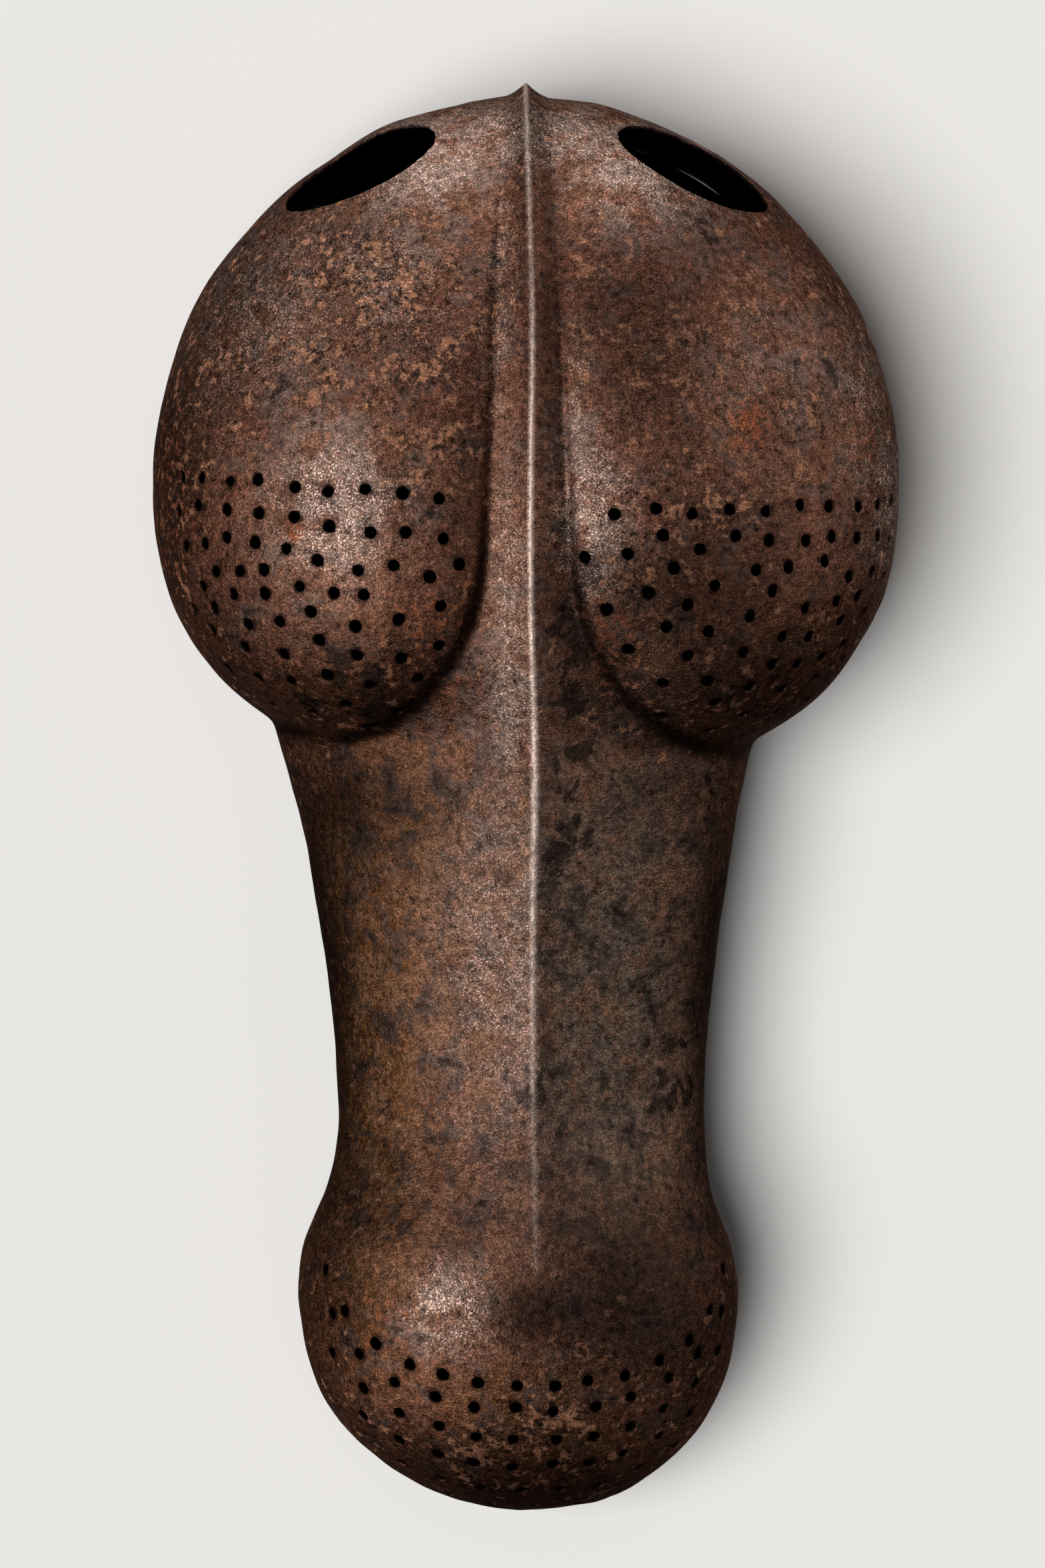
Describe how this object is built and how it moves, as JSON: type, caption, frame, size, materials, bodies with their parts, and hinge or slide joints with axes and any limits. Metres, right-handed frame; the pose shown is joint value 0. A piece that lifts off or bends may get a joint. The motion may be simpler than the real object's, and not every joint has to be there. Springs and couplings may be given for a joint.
{
  "type": "chanfron",
  "caption": "Steel horse's head armour: a long keeled face plate with domed perforated eye guards, a perforated nose bulge and open ear holes.",
  "frame": {"origin": "middle of the footprint, on the plane of the open back edge that the plate rests on", "axes": "+X to the right seen from the front, +Y from the nose towards the poll, +Z out of the horse's face"},
  "size_m": [0.332, 0.64, 0.1806],
  "materials": {
    "old_iron": "russet, finely pitted old steel with tan scale patches, a dull waxed gloss and a bright worn keel"
  },
  "bodies": {
    "root": {"face_plate": "old_iron"}
  },
  "joints": []
}
